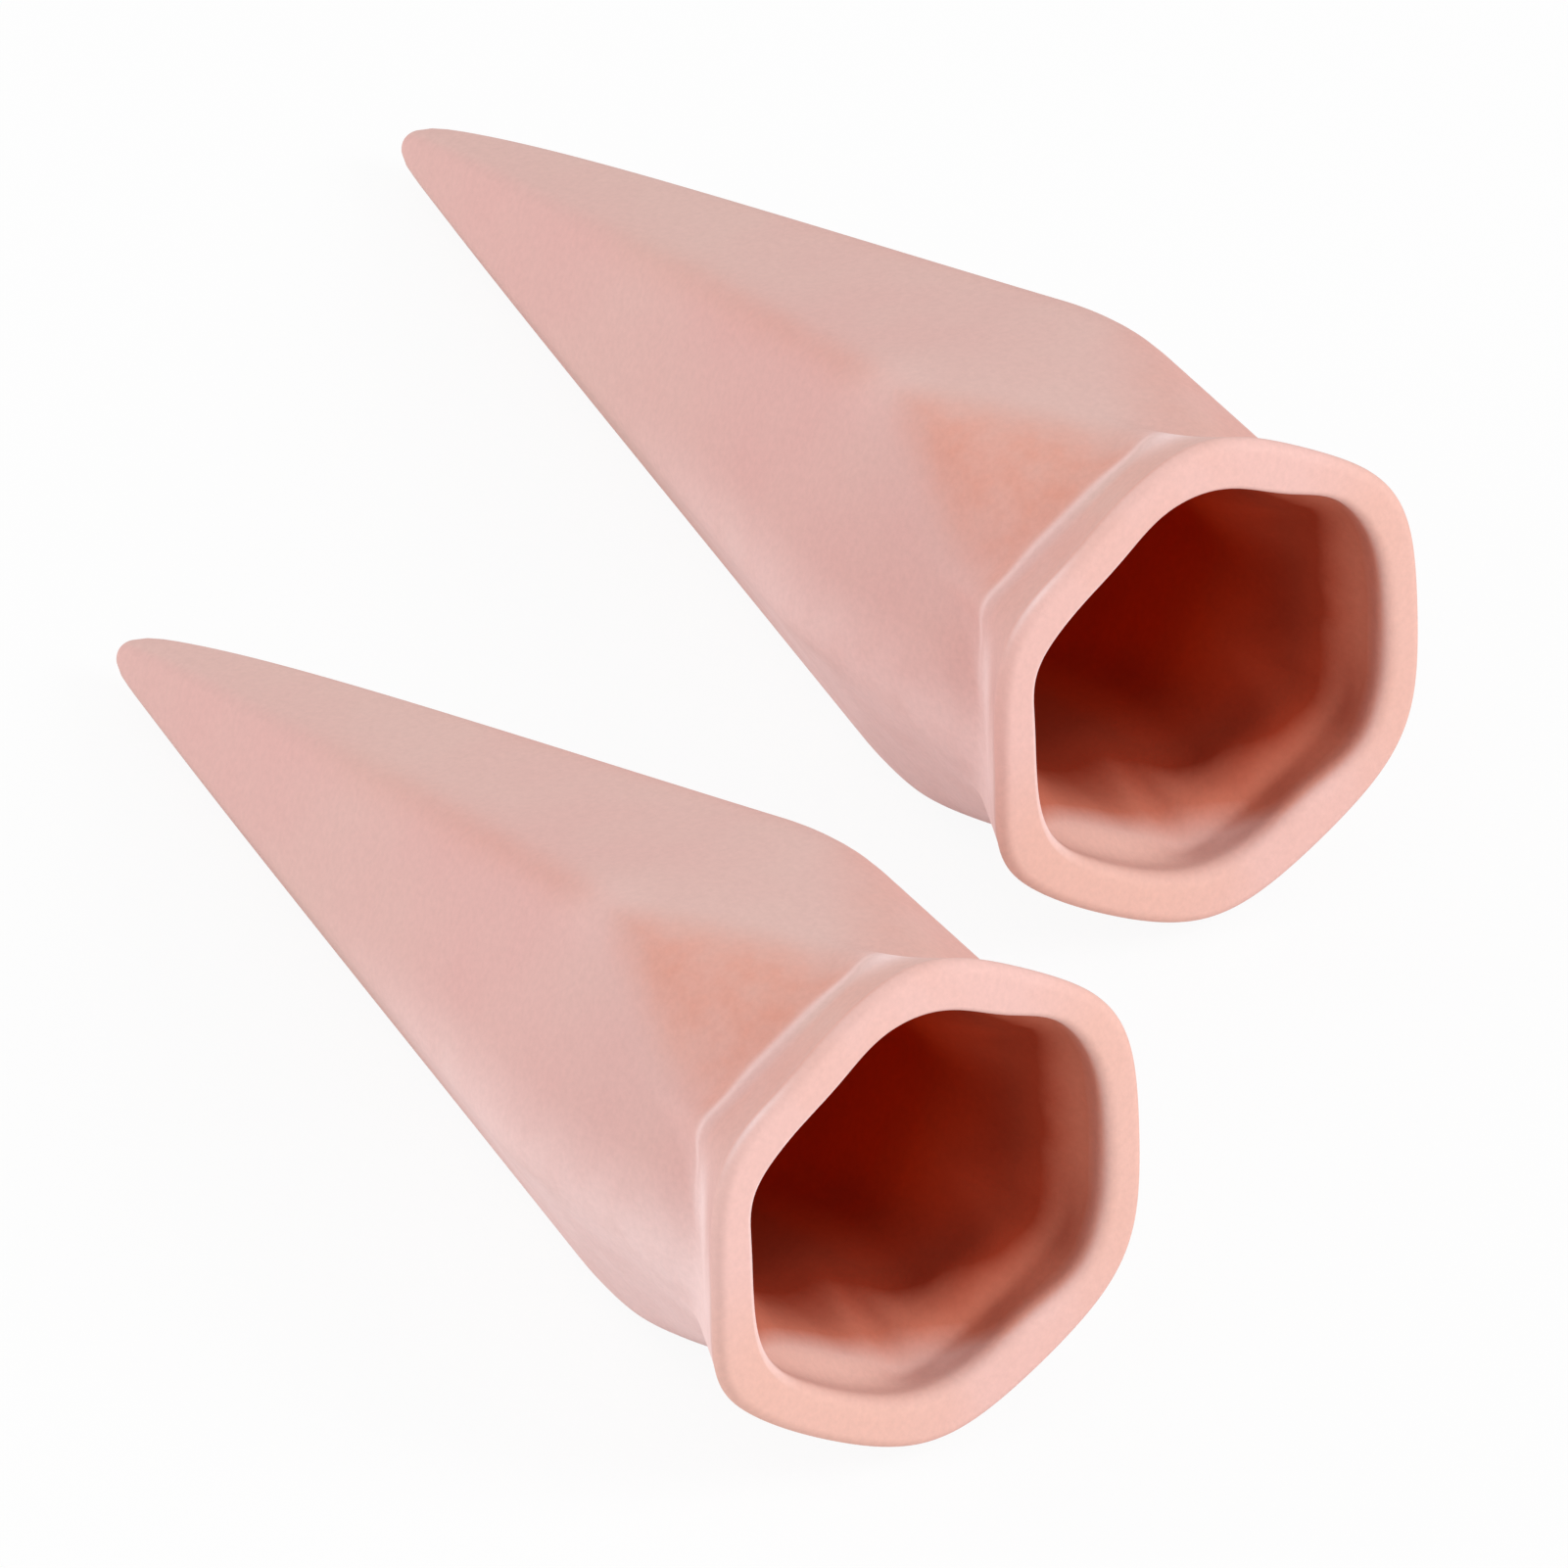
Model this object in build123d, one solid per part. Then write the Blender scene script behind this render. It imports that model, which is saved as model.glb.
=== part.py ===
from build123d import *
import os
from math import atan2, cos, degrees, pi, sin, tan

# A pair of unglazed fired-clay watering spikes, lying side by side on a flat surface.
# Each spike is one hollow slip-cast piece: a six-sided tapering body with a blunt tip, a shoulder whose
# facets turn the hexagon by 30 degrees, a grooved neck and a flared six-sided collar round the open mouth.
# A bottle neck goes into the mouth, the body is pushed into soil, and water seeps out through the clay.
# Frame: millimetres, Z up, the surface at Z = 0, the mouths towards -Y and the tips towards +Y.

# Lengths along the axis of one spike, from the tip to the lip
body_length = 106.0
shoulder_length = 25.5
collar_height = 8.5

# Outside of one spike, measured across opposite flats of each hexagon
tip_flats = 5.8
tip_rounding = 2.3
shoulder_flats = 46.0
ridge_rounding = 5.0
neck_flats = 43.0
neck_rounding = 4.0
lip_flats = 50.8
lip_corner_rounding = 14.0
lip_edge_rounding = 1.3

# Inside of one spike
wall = 4.6
inner_corner_rounding = 3.0
inner_tip_radius = 1.5
lip_width = 4.8
mouth_corner_rounding = 11.0
collar_hollow_depth = 0.4
collar_hollow_below_lip = 3.5

# The pair on its surface: the clear gap between the spikes, and how far one lies ahead of the other
gap = 21.0
stagger = 55.0

# Heights of the sections above the tip
shoulder_height = body_length
neck_height = shoulder_height + shoulder_length
lip_height = neck_height + collar_height

# Half widths of the sections, from the axis to a flat
tip_apothem = tip_flats / 2
shoulder_apothem = shoulder_flats / 2
neck_apothem = neck_flats / 2
lip_apothem = lip_flats / 2
mouth_apothem = lip_apothem - lip_width

# Taper of the body's six flat faces, from the axis
taper = atan2(shoulder_apothem - tip_apothem, body_length)


def within(rounding, half_width):
    """A rounding, limited to what its section or wall leaves room for."""
    return min(rounding, 0.8 * half_width)


def hexagon(height, apothem, rounding, ridges_first):
    """Rounded hexagon of six lines and six arcs; the element centred on angle 0 is an arc or a line."""
    rounding = within(rounding, apothem)
    half_side = (apothem - rounding) * tan(pi / 6)
    corner_reach = (apothem - rounding) / cos(pi / 6) + rounding
    first_normal = pi / 6 if ridges_first else 0.0

    def on_flat(normal, along):
        x = apothem * cos(normal) - along * sin(normal)
        y = apothem * sin(normal) + along * cos(normal)
        return (x, y, height)

    def flat(normal):
        return Edge.make_line(on_flat(normal, -half_side), on_flat(normal, half_side))

    def corner(normal):
        middle = normal + pi / 6
        start = on_flat(normal, half_side)
        farthest = (corner_reach * cos(middle), corner_reach * sin(middle), height)
        end = on_flat(normal + pi / 3, -half_side)
        return Edge.make_three_point_arc(start, farthest, end)

    edges = []
    for side in range(6):
        normal = first_normal + side * pi / 3
        if ridges_first:
            edges += [corner(normal - pi / 3), flat(normal)]
        else:
            edges += [flat(normal), corner(normal)]
    return edges


def skin(low, high):
    """The face between two edges: plane between two lines, and ruled where either is an arc."""
    if low.geom_type == GeomType.LINE and high.geom_type == GeomType.LINE:
        return Face(Wire.make_polygon([low @ 0, low @ 1, high @ 1, high @ 0]))
    return Face.make_surface_from_curves(low, high)


def ruled_solid(sections):
    """Closed solid through hexagons of twelve edges each, listed from the lowest to the highest."""
    faces = [Face(Wire(sections[0])), Face(Wire(sections[-1]))]
    for below, above in zip(sections, sections[1:]):
        faces += [skin(low, high) for low, high in zip(below, above)]
    return Solid(Shell(faces))


def outer_solid():
    """The spike filled in, from the blunt tip to the lip."""
    solid = ruled_solid(
        [
            hexagon(0.0, tip_apothem, tip_rounding, True),
            hexagon(shoulder_height, shoulder_apothem, ridge_rounding, True),
            hexagon(neck_height, neck_apothem, neck_rounding, False),
            hexagon(lip_height, lip_apothem, lip_corner_rounding, False),
        ]
    )
    tip_edges = solid.edges().group_by(Axis.Z)[0]
    return solid.fillet(within(tip_rounding, tip_apothem), tip_edges)


def cavity_solid():
    """The hollow, which follows the outside at the wall's thickness and widens a little behind the lip."""
    shoulder_inside = shoulder_apothem - wall / cos(taper)
    inner_tip = shoulder_height - (shoulder_inside - inner_tip_radius) / tan(taper)
    hollow_height = lip_height - collar_hollow_below_lip
    return ruled_solid(
        [
            hexagon(inner_tip, inner_tip_radius, inner_corner_rounding, True),
            hexagon(shoulder_height, shoulder_inside, inner_corner_rounding, True),
            hexagon(neck_height, neck_apothem - wall, inner_corner_rounding, False),
            hexagon(hollow_height, mouth_apothem + collar_hollow_depth, mouth_corner_rounding, False),
            hexagon(lip_height, mouth_apothem, mouth_corner_rounding, False),
        ]
    )


def standing_spike():
    """One spike with its axis along Z, tip down, and both edges of the lip rounded."""
    spike = outer_solid() - cavity_solid()
    lip_edges = spike.edges().group_by(Axis.Z)[-1]
    return spike.fillet(within(lip_edge_rounding, lip_width / 2), lip_edges)


def lying_spike():
    """One spike lying on a flat face of its body, its mouth towards -Y, centred over the origin."""
    axis = (0.0, -cos(taper), sin(taper))
    facing_ridge = (-sin(pi / 6), cos(pi / 6) * sin(taper), cos(pi / 6) * cos(taper))
    tip_lift = tip_apothem * cos(taper)
    lying = Plane(origin=(0, 0, tip_lift), x_dir=facing_ridge, z_dir=axis) * standing_spike()
    centre = lying.bounding_box().center()
    return Pos(-centre.X, -centre.Y, 0) * lying


spike = lying_spike()
spacing = spike.bounding_box().size.X + gap
places = {
    "rear_spike": (spacing / 2, stagger / 2),
    "front_spike": (-spacing / 2, -stagger / 2),
}

os.makedirs("parts", exist_ok=True)
print("taper of the faces, degrees:", round(degrees(taper), 2))
for name, (x, y) in places.items():
    placed = Pos(x, y, 0) * spike
    placed.label = name
    box = placed.bounding_box()
    print(name, "volume, mm3:", round(placed.volume), "size, mm:", [round(side, 2) for side in box.size])
    export_step(placed, f"parts/{name}.step")
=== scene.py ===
from math import atan, cos, pi, radians, sin, tan

import bpy
import numpy as np
from mathutils import Matrix, Vector


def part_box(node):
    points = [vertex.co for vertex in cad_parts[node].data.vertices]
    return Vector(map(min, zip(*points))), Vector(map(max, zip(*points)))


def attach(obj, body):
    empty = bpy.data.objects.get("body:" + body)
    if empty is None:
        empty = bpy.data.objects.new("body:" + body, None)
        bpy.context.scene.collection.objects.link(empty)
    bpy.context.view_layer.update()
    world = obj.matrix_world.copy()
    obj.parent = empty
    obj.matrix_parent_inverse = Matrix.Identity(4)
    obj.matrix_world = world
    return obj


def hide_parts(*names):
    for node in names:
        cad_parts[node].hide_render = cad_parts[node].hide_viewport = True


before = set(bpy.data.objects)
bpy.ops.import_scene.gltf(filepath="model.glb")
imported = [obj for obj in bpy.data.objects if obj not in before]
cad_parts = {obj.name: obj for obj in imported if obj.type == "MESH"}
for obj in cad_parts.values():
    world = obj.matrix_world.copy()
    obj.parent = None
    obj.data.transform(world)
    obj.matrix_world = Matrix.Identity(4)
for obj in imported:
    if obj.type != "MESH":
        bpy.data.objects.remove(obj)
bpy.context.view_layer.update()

MM = 0.001

# Lengths of one spike, in millimetres along its axis from the tip
LENGTH = 139.9
SHOULDER = 106.0
NECK = 131.5

# Half widths across the flats of its sections, in millimetres; the lip and the mouth have one for each side,
# and a number for how sharp their corners are
TIP_APOTHEM = 2.9
SHOULDER_APOTHEM = 23.0
NECK_APOTHEM = 21.5
NECK_CORNER = 21.9
RIDGE_END = 27.25
LIP_APOTHEMS = (24.9, 25.35, 25.75, 26.15, 25.7, 25.2)
MOUTH_APOTHEMS = (19.5, 21.0, 20.6, 20.35, 21.2, 20.05)
LIP_SHARPNESS = 7.3
MOUTH_SHARPNESS = 7.8

# Softness of the edges: the width over which two faces run together, in millimetres
TIP_RIDGE_BLEND = 1.1
SHOULDER_RIDGE_BLEND = 2.7
FACE_BLEND = 2.0
FACET_BLEND = 1.6
NECK_BLEND = 1.2
COLLAR_BLEND = 2.0
GROOVE_BLEND = 1.2

# The tip: a thin dome on a body that leans a little to one side and swells a little on top; the end hooks up
DOME_RADIUS = 1.4
DOME_SPREAD = 0.35
DOME_BLEND = 0.8
TIP_LEAN = 2.3
LEAN_SIDE = radians(240)
TIP_HOOK = 1.5
HOOK_LENGTH = 7.0
HOOK_SIDE = radians(30)
TIP_THINNING = 1.1
THIN_LENGTH = 10.0
TOP_SWELL = 0.4
TOP_SIDE = radians(330)

# The greatest value of share * (1 - share) ** 2, by which the swell is scaled
SWELL_PEAK = 4 / 27

# Where the rims of the lip and the mouth were pushed in or out by hand: (angle, width, push)
RIM_PUSHES = (
    (radians(12), radians(14), -0.8),
    (radians(85), radians(12), 0.8),
    (radians(150), radians(22), -0.5),
)
MOUTH_PUSHES = (
    (radians(40), radians(10), 0.55),
    (radians(150), radians(20), -0.7),
    (radians(181), radians(9), -0.3),
    (radians(203), radians(10), 0.7),
    (radians(284), radians(14), 1.1),
    (radians(345), radians(14), 0.8),
)

# The rounding of the lip's outer edge, and of the mouth's edge where it is crisp and where it is soft
OUTER_EDGE = 1.25
INNER_EDGE_CRISP = 0.6
INNER_EDGE_SOFT = 1.7

# The wall, in millimetres: its thickness, what is added below the neck and taken off again farther down, its
# slow wave, and how far the outside is blurred before the wall is taken off it
WALL = 4.2
SHOULDER_WALL = 3.5
WALL_THICKENS = (-3.0, 15.0)
WALL_THINS = (15.0, 60.0)
WALL_WAVE = 0.25
WALL_WAVES = 3
WALL_WAVE_TURN = 0.6
WALL_BLUR = 2.4
BLUR_REACH = 2.0
BLUR_STEPS = 9

# The inside: how deep the mouth's own outline reaches, where the six sides give way to a round hollow, its
# end, and a hollow and a crest behind the lip on the lower side
MOUTH_DEPTH = 6.5
ANGULAR_FROM = 130.0
ROUND_UNTIL = 40.0
CHAMBER_END = 22.0
HOLLOW_DEPTH = 0.8
HOLLOW_HEIGHT = 134.0
HOLLOW_LENGTH = 1.4
CREST_DEPTH = 0.35
CREST_HEIGHT = 130.8
CREST_LENGTH = 2.8
CREST_WAVE = 0.5
CREST_WAVES = 6

# Sides of the spike: the angle from its first ridge, and the cosines at which the side starts and is full
NEAR_SIDE = (0.0, 0.75, 1.0)
RIM_SIDE = (radians(45), 0.5, 0.8)
LEFT_SIDE = (radians(66), 0.8, 0.97)
UNDER_SIDE = (radians(98), 0.55, 0.95)
PAINTED_LIGHT_SIDE = (radians(128), 0.62, 0.97)
SLOW_SIDE = (radians(155), 0.7, 0.95)
LOW_CREST_SIDE = (radians(160), 0.8, 0.97)
HOLLOW_SIDE = (radians(184), 0.6, 0.97)
CREST_SIDE = (radians(184), 0.55, 0.97)
SOFT_SIDE = (radians(185), -0.6, 0.8)

# Rows of the mesh round one spike: turns in radians, heights and steps in millimetres
COLUMNS = 240
DOME_TURNS = np.radians(np.arange(8, 80, 8))
BODY_START = 2.6
BODY_STEP = 1.8
SHOULDER_START = 96.0
SHOULDER_STEP = 0.7
COLLAR_START = 130.6
COLLAR_ROWS = 34
EDGE_TURNS = np.radians(np.arange(10, 91, 10))
LIP_SHARES = np.linspace(0.2, 1.0, 5)
MOUTH_END = 124.0
MOUTH_ROWS = 34
CHAMBER_START = 122.0
CHAMBER_STEP = 3.0

# The clay's colour masks. A pair is the stretch over which a colour comes or goes, in millimetres from the
# tip, the neck, the shoulder, the lip or a facet's edge; a PLACE or a CORNER is the middle and the width of a
# soft spot.

# How pink rather than beige the clay is on each face of the body, from the face after the first ridge; a FADE
# is the cosines at which a side starts and is full
FACE_PINKS = (0.62, 0.3, 0.4, 0.4, 0.4, 0.15)
FACE_FADE = (0.78, 0.94)

# How orange it is: on each facet of the shoulder and the ridge that leads to it, then on the near side of the
# lip's outer edge and in a band on the near side of the collar
FACET_TINTS = (1.0, 0.05, 0.2, 0.3, 0.3, 0.4)
FACET_FADE = (0.8, 0.95)
FACET_APEX = 108.0
FACET_EDGE = (-5.0, 4.0)
FACET_END = (-0.4, 1.0)
RIDGE_TINT = 0.36
RIDGE_WIDTH = 2.2
RIDGE_STARTS = (30.0, 75.0)
RIDGE_STOPS = (-4.0, 8.0)
EDGE_TINT = 0.8
EDGE_TINT_PLACE = (OUTER_EDGE + 0.1, 0.5)
BAND_TINT = 0.4
BAND_STARTS = (0.8, 2.5)
BAND_STOPS = (1.0, 2.5)

# How pale it is: a painted highlight along the groove, painted light on the collar's far corner and left side
# and on the under side, a painted highlight and a scuff of wear on the near side, and a painted highlight on
# the mouth's rim
GROOVE_HIGHLIGHT = 0.6
GROOVE_PLACE = (-0.3, 0.6)
COLLAR_PAINTED_LIGHT = 0.9
COLLAR_PLACE = (1.6, 2.4)
FAR_CORNER = (radians(328), 0.13)
UNDER_PAINTED_LIGHT = 0.88
UNDER_STARTS = (50.0, 100.0)
UNDER_STOPS = (1.5, 3.5)
EDGE_HIGHLIGHT = 0.9
EDGE_HIGHLIGHT_PLACE = (0.95, 0.3)
NEAR_CORNER = (radians(22), 0.16)
SCUFF_BLOOM = 0.22
SCUFF_PLACE = (102.0, 4.5)
SCUFF_WIDTH = 3.6
RIM_HIGHLIGHT = 0.8
RIM_HIGHLIGHT_PLACE = (0.3, 0.35)

# The lip's own colour: how far below the lip it gives way outside and inside, and where it is warmer with
# painted warm bounce light from the red clay
LIP_OUTSIDE = (0.8, 1.9)
LIP_INSIDE = (0.0, 1.2)
WARM_SIDES = (
    (0.8, (radians(112), 0.55, 0.95)),
    (0.65, (radians(245), 0.55, 0.95)),
)

# The inside of the mouth, with painted shade that darkens it with depth: the stretch on the lower side that
# is painted pale as light falling in, ending in a painted shadow edge, how much more slowly the painted shade
# darkens below it, and how much lighter the painted shade is in the hollow and, as a painted highlight, on
# the low end of the crest
PAINTED_LIGHT_DEPTH = 6.1
PAINTED_LIGHT_FADE = 0.5
PAINTED_LIGHT_LIP = 0.85
PAINTED_LIGHT_LIP_STOPS = (5.0, 9.0)
PAINTED_LIGHT_TINT_LOSS = 0.7
INSIDE_TINT_STARTS = (0.2, 1.2)
SLOW_SHARE = 0.6
QUICK_DEPTH = 3.0
HOLLOW_PALER = 0.3
CREST_PALER = 0.2

# The lying pose: one flat face of the body on the surface, the mouth towards -Y
TAPER = atan((SHOULDER_APOTHEM - TIP_APOTHEM) / SHOULDER)
AXIS = Vector((0.0, -cos(TAPER), sin(TAPER)))
FACING_RIDGE = Vector((-sin(pi / 6), cos(pi / 6) * sin(TAPER), cos(pi / 6) * cos(TAPER)))


def smooth_min(first, second, width):
    """The lesser of two distances, with the crease between them rounded over that width."""
    near = np.clip(width - np.abs(first - second), 0.0, None) / width
    return np.minimum(first, second) - near**2 * width / 4


def smooth_max(first, second, width):
    """The greater of two distances, with the crease between them rounded over that width."""
    return -smooth_min(-first, -second, width)


def smooth_step(value, start, end):
    """0 before start, 1 after end, and a soft change between them."""
    share = np.clip((value - start) / (end - start), 0.0, 1.0)
    return share * share * (3 - 2 * share)


def bump(value, middle, width):
    """1 in the middle, falling softly to 0 on both sides."""
    return np.exp(-(((value - middle) / width) ** 2))


def facing(angle, side):
    """1 where the angle is on that side of the spike, and 0 away from it."""
    middle, start, full = side
    return smooth_step(np.cos(angle - middle), start, full)


def by_side(angle, shares, first, fade):
    """A share for each of six sides, the first one at that angle, fading between them."""
    return sum(share * facing(angle, (first + side * pi / 3, *fade)) for side, share in enumerate(shares))


def hexagon(angle, apothem, blend, first_normal):
    """Distance from the axis to a regular hexagon with rounded corners."""
    from_normal = np.abs((angle - first_normal + pi / 6) % (pi / 3) - pi / 6)
    own = apothem / np.cos(from_normal)
    neighbour = apothem / np.cos(pi / 3 - from_normal)
    return smooth_min(own, neighbour, blend)


def soft_hexagon(angle, apothems, sharpness):
    """Distance from the axis to a hand-finished hexagon, each side at its own distance."""
    total = np.zeros_like(angle)
    for side, apothem in enumerate(apothems):
        toward = np.clip(np.cos(angle - side * pi / 3), 0.0, None)
        total += (toward / apothem) ** sharpness
    return total ** (-1 / sharpness)


def pushed(angle, pushes):
    """How far a rim was pushed in or out by hand."""
    total = np.zeros_like(angle)
    for side, width, push in pushes:
        turn = (angle - side + pi) % (2 * pi) - pi
        total += push * bump(turn, 0.0, width)
    return total


def facet_radius(angle, height):
    """Distance to the shoulder's triangles, which end on the sides of the neck."""
    slope = (NECK_APOTHEM - RIDGE_END) / (NECK - SHOULDER)
    return hexagon(angle, RIDGE_END + slope * (height - SHOULDER), NECK_BLEND, 0.0)


def face_radius(angle, height):
    """Distance to the body's six faces, which bend over the shoulder to the neck's corners."""
    share = np.clip(height / SHOULDER, 0.0, 1.0)
    blend = TIP_RIDGE_BLEND + (SHOULDER_RIDGE_BLEND - TIP_RIDGE_BLEND) * share
    upper_side = (0.5 + 0.5 * np.cos(angle - TOP_SIDE)) ** 2
    swell = TOP_SWELL * share * (1 - share) ** 2 / SWELL_PEAK * upper_side
    apothem = TIP_APOTHEM - TIP_THINNING * np.exp(-height / THIN_LENGTH) + height * tan(TAPER)
    body = hexagon(angle, apothem, blend, pi / 6) + swell
    slope = (NECK_CORNER - SHOULDER_APOTHEM) / (NECK - SHOULDER)
    over = hexagon(angle, SHOULDER_APOTHEM + slope * (height - SHOULDER), blend, pi / 6)
    return smooth_min(body, over, FACE_BLEND)


def collar_radius(angle, height):
    """Distance to the collar, which flares from the neck's hexagon to the lip's."""
    share = (height - NECK) / (LENGTH - OUTER_EDGE - NECK)
    neck = hexagon(angle, NECK_APOTHEM, COLLAR_BLEND, 0.0)
    lip = soft_hexagon(angle, LIP_APOTHEMS, LIP_SHARPNESS) + pushed(angle, RIM_PUSHES)
    return neck + (lip - neck) * share


def outer_radius(angle, height):
    """Distance from the axis to the outside of the clay, up to the lip's rounded edge."""
    skin = smooth_min(face_radius(angle, height), facet_radius(angle, height), FACET_BLEND)
    dome = np.sqrt(np.clip(2 * DOME_RADIUS * height + (DOME_SPREAD * height) ** 2, 0.0, None))
    skin = smooth_min(skin, dome, DOME_BLEND)
    collared = smooth_max(skin, collar_radius(angle, height), GROOVE_BLEND)
    return np.where(height > (SHOULDER + NECK) / 2, collared, skin)


def hollow(angle, height):
    """Share of the hollow behind the lip: 1 along its floor, and 0 away from it."""
    return facing(angle, HOLLOW_SIDE) * bump(height, HOLLOW_HEIGHT, HOLLOW_LENGTH)


def crest(angle, height):
    """Share of the crest behind the hollow: 1 along its top, and 0 away from it."""
    along = CREST_HEIGHT + CREST_WAVE * np.sin(CREST_WAVES * angle)
    return facing(angle, CREST_SIDE) * bump(height, along, CREST_LENGTH)


def wall_thickness(angle, height):
    """Thickness of the clay: more round the shoulder, less again below it, and a slow wave at the neck."""
    below_neck = NECK - height
    thicker = smooth_step(below_neck, *WALL_THICKENS) * (1 - smooth_step(below_neck, *WALL_THINS))
    wave = WALL_WAVE * np.sin(WALL_WAVES * angle + WALL_WAVE_TURN)
    return WALL + SHOULDER_WALL * thicker + wave * smooth_step(height, SHOULDER, NECK)


def inner_radius(angle, height):
    """Distance from the axis to a row of the inside: the outside, blurred as cast clay is, less the wall."""
    shifts = np.linspace(-BLUR_REACH, BLUR_REACH, BLUR_STEPS)
    weights = np.exp(-(shifts**2) / 2)
    blurred = sum(
        weight * outer_radius(angle, height + shift * WALL_BLUR) for shift, weight in zip(shifts, weights)
    )
    inside = blurred / weights.sum() - wall_thickness(angle, height)
    middle = inside.mean()
    inside = middle + (inside - middle) * smooth_step(height, ROUND_UNTIL, ANGULAR_FROM)
    mouth = soft_hexagon(angle, MOUTH_APOTHEMS, MOUTH_SHARPNESS) + pushed(angle, MOUTH_PUSHES)
    at_lip = smooth_step(height, LENGTH - MOUTH_DEPTH, LENGTH - INNER_EDGE_SOFT)
    inside = inside + (mouth - inside) * at_lip
    return inside + HOLLOW_DEPTH * hollow(angle, height) - CREST_DEPTH * crest(angle, height)


def mouth_edge(angle):
    """The rounding of the mouth's edge: crisp on the near side and soft on the lower one."""
    return INNER_EDGE_CRISP + (INNER_EDGE_SOFT - INNER_EDGE_CRISP) * facing(angle, SOFT_SIDE)


def outside_rows(angle):
    """Rows of (radius, height) up the outside of one spike and over its lip to the mouth's edge."""
    dome = DOME_RADIUS * (1 - np.cos(DOME_TURNS))
    body = np.arange(BODY_START, SHOULDER_START, BODY_STEP)
    shoulder = np.arange(SHOULDER_START, COLLAR_START, SHOULDER_STEP)
    collar = np.linspace(COLLAR_START, LENGTH - OUTER_EDGE, COLLAR_ROWS)
    rows = []
    for height in np.concatenate([dome, body, shoulder, collar]):
        level = np.full_like(angle, height)
        rows.append((outer_radius(angle, level), level))
    outline = rows[-1][0]
    for turn in EDGE_TURNS:
        radius = outline - OUTER_EDGE * (1 - cos(turn))
        rows.append((radius, np.full_like(angle, LENGTH - OUTER_EDGE * (1 - sin(turn)))))
    edge = mouth_edge(angle)
    mouth = inner_radius(angle, LENGTH - edge)
    for share in LIP_SHARES:
        radius = (outline - OUTER_EDGE) * (1 - share) + (mouth + edge) * share
        rows.append((radius, np.full_like(angle, LENGTH)))
    return rows


def inside_rows(angle):
    """Rows of (radius, height) round the mouth's edge and down the inside of one spike."""
    edge = mouth_edge(angle)
    start = LENGTH - edge
    mouth = inner_radius(angle, start)
    rows = [(mouth + edge * (1 - sin(turn)), LENGTH - edge * (1 - cos(turn))) for turn in EDGE_TURNS]
    for share in np.linspace(0.0, 1.0, MOUTH_ROWS)[1:]:
        level = start + (MOUTH_END - start) * share
        rows.append((inner_radius(angle, level), level))
    for height in np.arange(CHAMBER_START, CHAMBER_END, -CHAMBER_STEP):
        level = np.full_like(angle, height)
        rows.append((inner_radius(angle, level), level))
    return rows


def pinkness(angle):
    """How pink rather than beige the clay is."""
    return by_side(angle, FACE_PINKS, pi / 6, FACE_FADE)


def warmth(angle):
    """How warm the lip's colour is, as painted warm bounce light."""
    return np.maximum.reduce([share * facing(angle, side) for share, side in WARM_SIDES])


def outside_masks(angle, radius, height):
    """The colour masks of one row of the outside."""
    below_lip = LENGTH - height
    above_neck = height - NECK
    from_ridge = np.abs((angle + pi / 6) % (pi / 3) - pi / 6)
    beside_ridge = from_ridge * radius
    near = facing(angle, NEAR_SIDE)

    orange = by_side(angle, FACET_TINTS, 0.0, FACET_FADE)
    half_facet = pi / 6 * (height - FACET_APEX) / (NECK - FACET_APEX) * radius
    facet = smooth_step(half_facet - beside_ridge, *FACET_EDGE) * smooth_step(-above_neck, *FACET_END)
    ridge = bump(beside_ridge, 0.0, RIDGE_WIDTH) * smooth_step(height, *RIDGE_STARTS)
    ridge = RIDGE_TINT * ridge * smooth_step(SHOULDER - height, *RIDGE_STOPS)
    edge = EDGE_TINT * bump(below_lip, *EDGE_TINT_PLACE) * near
    band = BAND_TINT * smooth_step(above_neck, *BAND_STARTS) * smooth_step(below_lip, *BAND_STOPS) * near

    # Painted highlight along the groove
    groove = GROOVE_HIGHLIGHT * bump(above_neck, *GROOVE_PLACE)
    # Painted light on the collar's far corner and left side
    collar = COLLAR_PAINTED_LIGHT * bump(above_neck, *COLLAR_PLACE)
    collar = collar * np.maximum(bump(angle, *FAR_CORNER), facing(angle, LEFT_SIDE))
    # Painted light on the under side, lightening the shade below the body
    under = UNDER_PAINTED_LIGHT * smooth_step(height, *UNDER_STARTS) * smooth_step(below_lip, *UNDER_STOPS)
    under = under * facing(angle, UNDER_SIDE)
    # Painted highlight along the lip's outer edge at the near corner
    edge_highlight = EDGE_HIGHLIGHT * bump(below_lip, *EDGE_HIGHLIGHT_PLACE) * bump(angle, *NEAR_CORNER)
    scuff = SCUFF_BLOOM * bump(height, *SCUFF_PLACE) * bump(beside_ridge, 0.0, SCUFF_WIDTH) * near
    return {
        "pink": pinkness(angle),
        "tint": np.maximum.reduce([orange * facet, orange * ridge, edge, band]),
        "pale_wear_and_painted_light": np.maximum.reduce([groove, collar, under, edge_highlight, scuff]),
        "lip": 1 - smooth_step(below_lip, *LIP_OUTSIDE),
        "warm": warmth(angle),
        "depth": np.zeros_like(angle),
    }


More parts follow.
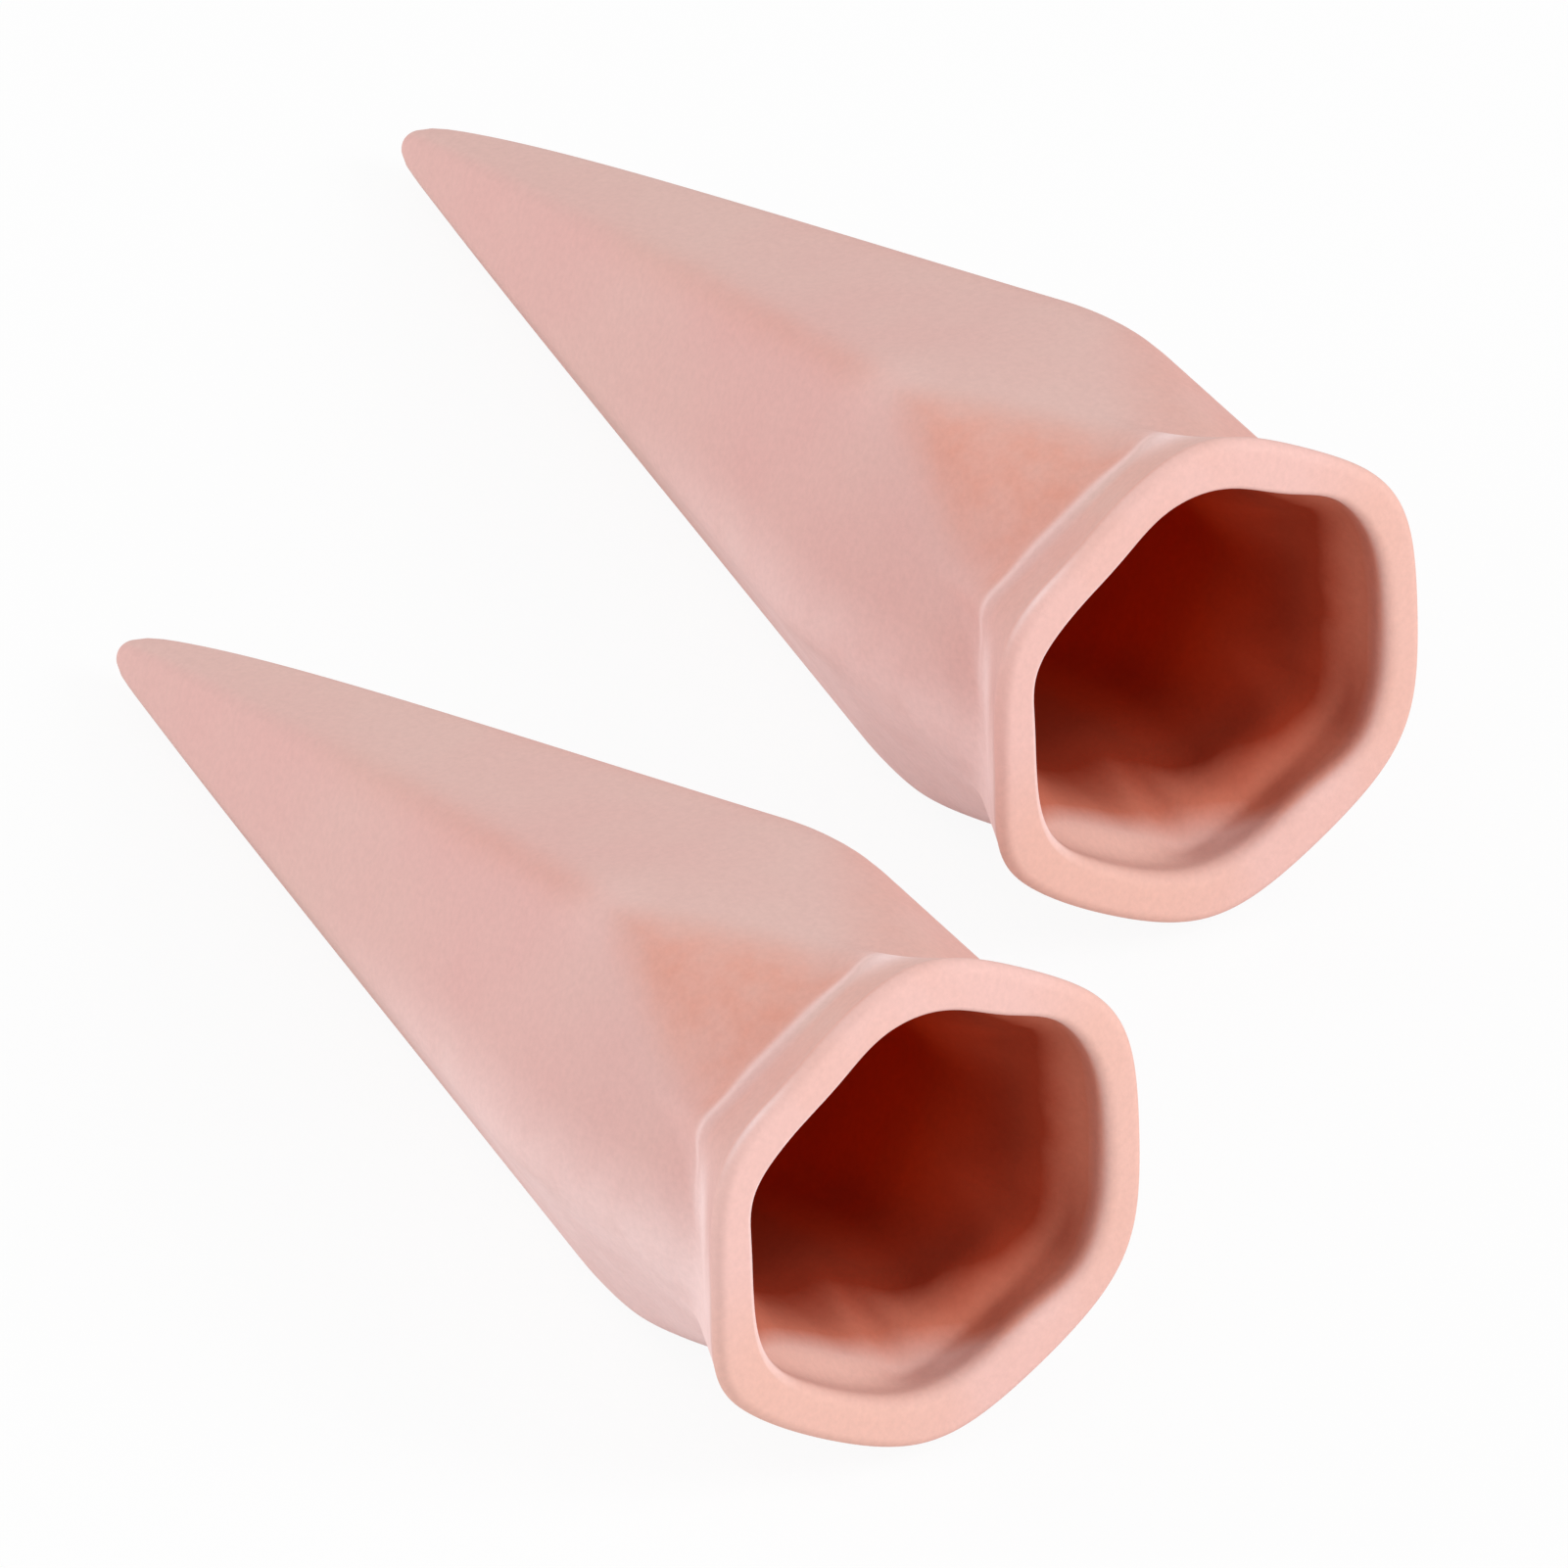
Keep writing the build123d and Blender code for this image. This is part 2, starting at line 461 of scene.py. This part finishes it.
def inside_masks(angle, height):
    """The colour masks of one row of the inside; its depth, the amount of painted shade, is in millimetres
    below the stretch painted pale as light.
    """
    below_lip = LENGTH - height
    # Painted light: a pale stretch on the lower side below the lip, ending in a painted shadow edge
    painted_light = facing(angle, PAINTED_LIGHT_SIDE)
    slow = np.maximum(painted_light, SLOW_SHARE * facing(angle, SLOW_SIDE))
    below = np.clip(below_lip - PAINTED_LIGHT_DEPTH * painted_light, 0.0, None)
    depth = np.minimum(below, QUICK_DEPTH) + np.clip(below - QUICK_DEPTH, 0.0, None) * (1 - PAINTED_LIGHT_FADE * slow)
    # Painted light: the painted shade is lighter in the hollow, and a painted highlight lies on the low end
    # of the crest
    depth = depth * (1 - HOLLOW_PALER * hollow(angle, height))
    depth = depth * (1 - CREST_PALER * facing(angle, LOW_CREST_SIDE) * crest(angle, height))
    lip = 1 - smooth_step(below_lip, *LIP_INSIDE)
    painted_light_lip = PAINTED_LIGHT_LIP * painted_light * (1 - smooth_step(below_lip, *PAINTED_LIGHT_LIP_STOPS))
    return {
        "pink": pinkness(angle),
        "tint": (1 - PAINTED_LIGHT_TINT_LOSS * painted_light) * smooth_step(below_lip, *INSIDE_TINT_STARTS),
        # Painted highlight along the mouth's rim
        "pale_wear_and_painted_light": RIM_HIGHLIGHT * bump(below_lip, *RIM_HIGHLIGHT_PLACE) * facing(angle, RIM_SIDE),
        "lip": np.maximum(lip, painted_light_lip),
        "warm": warmth(angle),
        "depth": depth,
    }


def add_masks(mesh, masks):
    """Writes the rows' colour masks to the mesh for its material; each end takes those of the nearest row."""
    for name in masks[0]:
        values = [row[name] for row in masks]
        values = [values[0][:1], *values, values[-1][:1]]
        attribute = mesh.attributes.new(name, "FLOAT", "POINT")
        attribute.data.foreach_set("value", np.concatenate(values).astype(np.float32))


def spike_points(angle, rows):
    """The points of one spike standing on its tip, in metres: its tip, its rows and the end of the inside."""
    points = [np.zeros((1, 3))]
    for radius, height in rows:
        points.append(np.stack([radius * np.cos(angle), radius * np.sin(angle), height], axis=1))
    points.append(np.array([[0.0, 0.0, CHAMBER_END]]))
    points = np.concatenate(points)
    lean = TIP_LEAN * np.clip(1 - points[:, 2] / SHOULDER, 0.0, 1.0)
    hook = TIP_HOOK * np.exp(-points[:, 2] / HOOK_LENGTH)
    points[:, 0] += lean * cos(LEAN_SIDE) + hook * cos(HOOK_SIDE)
    points[:, 1] += lean * sin(LEAN_SIDE) + hook * sin(HOOK_SIDE)
    return points * MM


def spike_faces(row_count):
    """The faces between those points: triangles at both ends, and four-sided ones between the rows."""
    end = 1 + row_count * COLUMNS
    last_row = end - COLUMNS
    faces = []
    for column in range(COLUMNS):
        after = (column + 1) % COLUMNS
        faces.append((0, 1 + after, 1 + column))
        for row in range(row_count - 1):
            low = 1 + row * COLUMNS
            high = low + COLUMNS
            faces.append((low + column, low + after, high + after, high + column))
        faces.append((end, last_row + column, last_row + after))
    return faces


def spike_mesh(name, pose):
    """One spike as a closed mesh in its pose, with masks and places for the clay's colours."""
    angle = np.linspace(0.0, 2 * pi, COLUMNS, endpoint=False)
    outside = outside_rows(angle)
    inside = inside_rows(angle)
    rows = outside + inside
    points = spike_points(angle, rows)
    mesh = bpy.data.meshes.new(name)
    mesh.from_pydata(points.tolist(), [], spike_faces(len(rows)))
    place = mesh.attributes.new("place", "FLOAT_VECTOR", "POINT")
    place.data.foreach_set("vector", points.astype(np.float32).ravel())
    mesh.transform(pose)
    mesh.polygons.foreach_set("use_smooth", [True] * len(mesh.polygons))
    masks = [outside_masks(angle, radius, height) for radius, height in outside]
    masks += [inside_masks(angle, height) for radius, height in inside]
    add_masks(mesh, masks)
    mesh.update()
    return mesh


# Colours of the clay on a screen, 0 to 255
BEIGE_CLAY = (222, 185, 177)
PINK_CLAY = (223, 174, 169)
ORANGE_CLAY = (224, 156, 138)
LIP_CLAY = (233, 189, 181)
WORN_LIP = (228, 172, 154)
# Painted warm bounce light on the lip's rounded edges
WARM_LIP = (231, 182, 167)
# A pale colour for painted light and highlights, and for a scuff of wear
PALE_WEAR_AND_LIGHT = (246, 216, 213)
# The last three colours are painted shade: the inside of the mouth darker and redder the deeper it goes
MOUTH_SHADE = (204, 122, 99)
NECK_SHADE = (156, 60, 39)
CHAMBER_SHADE = (216, 58, 12)

# Depths inside, in millimetres, between which each of the last three colours, the painted shade of the
# inside, comes in
MOUTH_DEPTHS = (0.4, 3.0)
NECK_DEPTHS = (2.7, 7.0)
CHAMBER_DEPTHS = (10.0, 30.0)

# Noise in the clay: the size of its blotches in millimetres, its detail and its roughness
BLOTCH_NOISE = (34.0, 3.0, 0.5)
PATCH_NOISE = (9.0, 4.0, 0.6)
WEAR_NOISE = (22.0, 3.0, 0.5)
PALE_NOISE = (4.5, 3.0, 0.5)
DEPTH_NOISE = (4.0, 3.0, 0.5)
GRAIN_NOISE = (0.7, 3.0, 0.65)
LUMP_NOISE = (6.0, 2.0, 0.5)

# How each noise, or the depth, is stretched: from low, from high, to low, to high
BLOTCH_RANGE = (0.35, 0.65, -0.3, 0.3)
PATCH_RANGE = (0.35, 0.7, 0.5, 1.0)
WEAR_RANGE = (0.45, 0.65, 0.0, 0.4)
PALE_RANGE = (0.35, 0.6, 0.82, 1.0)
DEPTH_RANGE = (0.3, 0.7, 0.95, 1.05)
GRAIN_SHADES = (0.3, 0.7, 0.955, 1.03)
GRAIN_ROUGHNESS = (0.3, 0.7, 0.82, 0.95)
SHINE_RANGE = (0.0, 6.0, 0.15, 0.0)

# Relief of the grain and of the soft lumps: its strength, and its height in metres
GRAIN_RELIEF = (0.25, 0.00012)
LUMP_RELIEF = (0.2, 0.0006)

# The sockets of a mix node that take the share and the two colours, and the one that gives the mixed colour
MIX_INPUTS = (0, 6, 7)
MIX_OUTPUT = 2


def linear(red, green, blue):
    """A screen colour, 0 to 255, as the linear colour that a shader takes, by the sRGB curve."""
    def channel(value):
        share = value / 255
        return share / 12.92 if share <= 0.04045 else ((share + 0.055) / 1.055) ** 2.4
    return (channel(red), channel(green), channel(blue), 1.0)


def feed(tree, socket, value):
    """Gives a socket a plain value or another node's output."""
    if isinstance(value, bpy.types.NodeSocket):
        tree.links.new(value, socket)
    else:
        socket.default_value = value


def add_node(tree, kind, inputs, **settings):
    """A new shader node; each input is a plain value or another node's output."""
    node = tree.nodes.new(kind)
    for name, value in settings.items():
        setattr(node, name, value)
    for name, value in inputs.items():
        feed(tree, node.inputs[name], value)
    return node


def noise(tree, place, kind):
    """One kind of noise in the clay."""
    size, detail, roughness = kind
    inputs = {"Vector": place, "Scale": 1 / (size * MM), "Detail": detail, "Roughness": roughness}
    return add_node(tree, "ShaderNodeTexNoise", inputs).outputs["Fac"]


def spread(tree, value, low, high, to_low=0.0, to_high=1.0):
    """A value stretched from one range to another, and held inside it."""
    inputs = {"Value": value, "From Min": low, "From Max": high, "To Min": to_low, "To Max": to_high}
    return add_node(tree, "ShaderNodeMapRange", inputs).outputs["Result"]


def combined(tree, operation, first, second, clamped=False):
    """Two values put together by one operation, held between 0 and 1 where clamped."""
    node = add_node(tree, "ShaderNodeMath", {}, operation=operation, use_clamp=clamped)
    for socket, value in zip(node.inputs, (first, second)):
        feed(tree, socket, value)
    return node.outputs["Value"]


def mixed(tree, share, first, second, how="MIX"):
    """Two colours mixed by a share."""
    node = add_node(tree, "ShaderNodeMix", {}, data_type="RGBA", blend_type=how)
    for index, value in zip(MIX_INPUTS, (share, first, second)):
        feed(tree, node.inputs[index], value)
    return node.outputs[MIX_OUTPUT]


def mask(tree, name):
    """One of the masks that the mesh holds."""
    return add_node(tree, "ShaderNodeAttribute", {}, attribute_name=name).outputs["Fac"]


def outside_clay(tree, place):
    """The clay's colour in the light: soft blotches, orange facets, the lip's own colour, and pale painted
    light and highlights with a scuff of wear.
    """
    blotches = spread(tree, noise(tree, place, BLOTCH_NOISE), *BLOTCH_RANGE)
    pink = combined(tree, "ADD", mask(tree, "pink"), blotches, clamped=True)
    clay = mixed(tree, pink, linear(*BEIGE_CLAY), linear(*PINK_CLAY))
    patches = spread(tree, noise(tree, place, PATCH_NOISE), *PATCH_RANGE)
    orange = combined(tree, "MULTIPLY", mask(tree, "tint"), patches)
    clay = mixed(tree, orange, clay, linear(*ORANGE_CLAY))
    worn = spread(tree, noise(tree, place, WEAR_NOISE), *WEAR_RANGE)
    lip = mixed(tree, worn, linear(*LIP_CLAY), linear(*WORN_LIP))
    lip = mixed(tree, mask(tree, "warm"), lip, linear(*WARM_LIP))
    clay = mixed(tree, mask(tree, "lip"), clay, lip)
    # Pale marks, mottled: painted light and highlights, and a scuff of wear
    flecks = spread(tree, noise(tree, place, PALE_NOISE), *PALE_RANGE)
    pale = combined(tree, "MULTIPLY", mask(tree, "pale_wear_and_painted_light"), flecks)
    return mixed(tree, pale, clay, linear(*PALE_WEAR_AND_LIGHT))


def terracotta():
    """Matte unglazed clay, with painted shade that darkens it inside the mouth, a fine grain and soft lumps.
    """
    material = bpy.data.materials.new("terracotta")
    material.use_nodes = True
    tree = material.node_tree
    shader = tree.nodes["Principled BSDF"]
    place = add_node(tree, "ShaderNodeAttribute", {}, attribute_name="place").outputs["Vector"]

    clay = outside_clay(tree, place)
    # Painted shade: the clay darkens and reddens with depth inside the mouth
    uneven = spread(tree, noise(tree, place, DEPTH_NOISE), *DEPTH_RANGE)
    depth = combined(tree, "MULTIPLY", mask(tree, "depth"), uneven)
    for depths, colour in (
        (MOUTH_DEPTHS, MOUTH_SHADE), (NECK_DEPTHS, NECK_SHADE), (CHAMBER_DEPTHS, CHAMBER_SHADE),
    ):
        clay = mixed(tree, spread(tree, depth, *depths), clay, linear(*colour))

    grain = noise(tree, place, GRAIN_NOISE)
    channels = {name: spread(tree, grain, *GRAIN_SHADES) for name in ("Red", "Green", "Blue")}
    shade = add_node(tree, "ShaderNodeCombineColor", channels).outputs["Color"]
    tree.links.new(mixed(tree, 1.0, clay, shade, "MULTIPLY"), shader.inputs["Base Color"])

    lumps = noise(tree, place, LUMP_NOISE)
    relief = {}
    for height, (strength, distance) in ((grain, GRAIN_RELIEF), (lumps, LUMP_RELIEF)):
        inputs = {"Height": height, "Strength": strength, "Distance": distance, **relief}
        relief = {"Normal": add_node(tree, "ShaderNodeBump", inputs).outputs["Normal"]}
    tree.links.new(relief["Normal"], shader.inputs["Normal"])
    tree.links.new(spread(tree, grain, *GRAIN_ROUGHNESS), shader.inputs["Roughness"])
    tree.links.new(spread(tree, depth, *SHINE_RANGE), shader.inputs["Specular IOR Level"])
    return material


def tip_end(node):
    """Where a spike's axis meets the end of its tip, read from the CAD node."""
    low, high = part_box(node)
    reach = max(-AXIS.dot(vertex.co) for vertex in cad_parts[node].data.vertices)
    height = TIP_APOTHEM * MM * cos(TAPER)
    return Vector(((low.x + high.x) / 2, -(reach + AXIS.z * height) / AXIS.y, height))


def lay(name, node, body, clay):
    """One spike where its CAD node lies."""
    turned = Matrix((FACING_RIDGE, AXIS.cross(FACING_RIDGE), AXIS)).transposed().to_4x4()
    mesh = spike_mesh(name, Matrix.Translation(tip_end(node)) @ turned)
    mesh.materials.append(clay)
    piece = bpy.data.objects.new(name, mesh)
    bpy.context.scene.collection.objects.link(piece)
    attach(piece, body)
    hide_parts(node)


clay = terracotta()
lay("rear_clay_spike", "rear_spike", "rear", clay)
lay("front_clay_spike", "front_spike", "front", clay)


# A pale floor just under the pair, in metres, and the share of its own white that the camera sees
FLOOR_SIZE = 6.0
FLOOR_DROP = 0.0002
FLOOR_COLOUR = (0.85, 0.85, 0.85, 1.0)
FLOOR_GLOW = 0.92
WHITE = (1.0, 1.0, 1.0, 1.0)


def camera_share(tree):
    """1 for what the camera sees straight, by reflection or through glass, and 0 for light on its way."""
    path = add_node(tree, "ShaderNodeLightPath", {})
    share = path.outputs["Is Camera Ray"]
    for name in ("Is Glossy Ray", "Is Transmission Ray"):
        share = combined(tree, "MAXIMUM", share, path.outputs[name])
    return share


def floor():
    """White studio floor: plain diffuse to the light, and nearly white to the camera."""
    half = FLOOR_SIZE / 2
    mesh = bpy.data.meshes.new("floor")
    corners = [(x, y, -FLOOR_DROP) for x, y in ((-half, -half), (half, -half), (half, half), (-half, half))]
    mesh.from_pydata(corners, [], [(0, 1, 2, 3)])
    material = bpy.data.materials.new("floor")
    material.use_nodes = True
    tree = material.node_tree
    output = tree.nodes["Material Output"]
    tree.nodes.remove(tree.nodes["Principled BSDF"])
    matte = add_node(tree, "ShaderNodeBsdfDiffuse", {"Color": FLOOR_COLOUR})
    glow = add_node(tree, "ShaderNodeEmission", {"Color": WHITE, "Strength": 1.0})
    share = combined(tree, "MULTIPLY", camera_share(tree), FLOOR_GLOW)
    blend = add_node(tree, "ShaderNodeMixShader", {"Fac": share})
    tree.links.new(matte.outputs["BSDF"], blend.inputs[1])
    tree.links.new(glow.outputs["Emission"], blend.inputs[2])
    tree.links.new(blend.outputs["Shader"], output.inputs["Surface"])
    mesh.materials.append(material)
    made = bpy.data.objects.new("floor", mesh)
    bpy.context.scene.collection.objects.link(made)


# Soft studio light: the room all round, and square lamps with their name, azimuth and elevation in degrees,
# distance and size in metres, and power in watts
ROOM_LIGHT = 0.68
LAMPS = (
    ("left", -128.0, 13.0, 1.5, 0.6, 7.6),
    ("right", 40.0, 40.0, 1.5, 0.7, 9.0),
    ("front", -5.0, 10.0, 1.5, 0.5, 2.5),
)


def direction(azimuth, elevation):
    """Unit vector towards a place seen from the pair; azimuth 0 is -Y and 90 is +X, in degrees."""
    turn = radians(azimuth)
    rise = radians(elevation)
    return Vector((sin(turn) * cos(rise), -cos(turn) * cos(rise), sin(rise)))


def room():
    """Even white light from all round, with a white background."""
    world = bpy.data.worlds.new("room")
    bpy.context.scene.world = world
    world.use_nodes = True
    tree = world.node_tree
    background = tree.nodes["Background"]
    background.inputs["Color"].default_value = WHITE
    strength = spread(tree, camera_share(tree), 0.0, 1.0, ROOM_LIGHT, 1.0)
    tree.links.new(strength, background.inputs["Strength"])


def lamp(name, azimuth, elevation, distance, size, power):
    """A square soft box that faces the pair."""
    light = bpy.data.lights.new(name, "AREA")
    light.size = size
    light.energy = power
    made = bpy.data.objects.new(name, light)
    bpy.context.scene.collection.objects.link(made)
    towards = direction(azimuth, elevation)
    made.location = towards * distance
    made.rotation_mode = "QUATERNION"
    made.rotation_quaternion = towards.to_track_quat("Z", "Y")


# The photograph's view of the pair, by a long lens: angles in degrees, distances in metres, and the sensor
# and the lens in millimetres
VIEW_AZIMUTH = -38.57
VIEW_ELEVATION = 37.55
VIEW_ROLL = 5.92
VIEW_DISTANCE = 6.9023
VIEW_END = 100.0
VIEW_CENTRE = Vector((10.59, -5.5, 3.14)) * MM
SENSOR = 36.0
LENS = 1600.0


def camera():
    """The camera, leaning a little as the photograph does."""
    data = bpy.data.cameras.new("camera")
    data.sensor_width = SENSOR
    data.lens = LENS
    data.clip_end = VIEW_END
    made = bpy.data.objects.new("camera", data)
    bpy.context.scene.collection.objects.link(made)
    back = direction(VIEW_AZIMUTH, VIEW_ELEVATION)
    level = (-back).to_track_quat("-Z", "Y").to_matrix()
    rolled = level @ Matrix.Rotation(radians(VIEW_ROLL), 3, "Z")
    made.matrix_world = Matrix.Translation(VIEW_CENTRE + back * VIEW_DISTANCE) @ rolled.to_4x4()
    bpy.context.scene.camera = made


floor()
room()
for settings in LAMPS:
    lamp(*settings)
camera()
bpy.context.scene.view_settings.view_transform = "Standard"
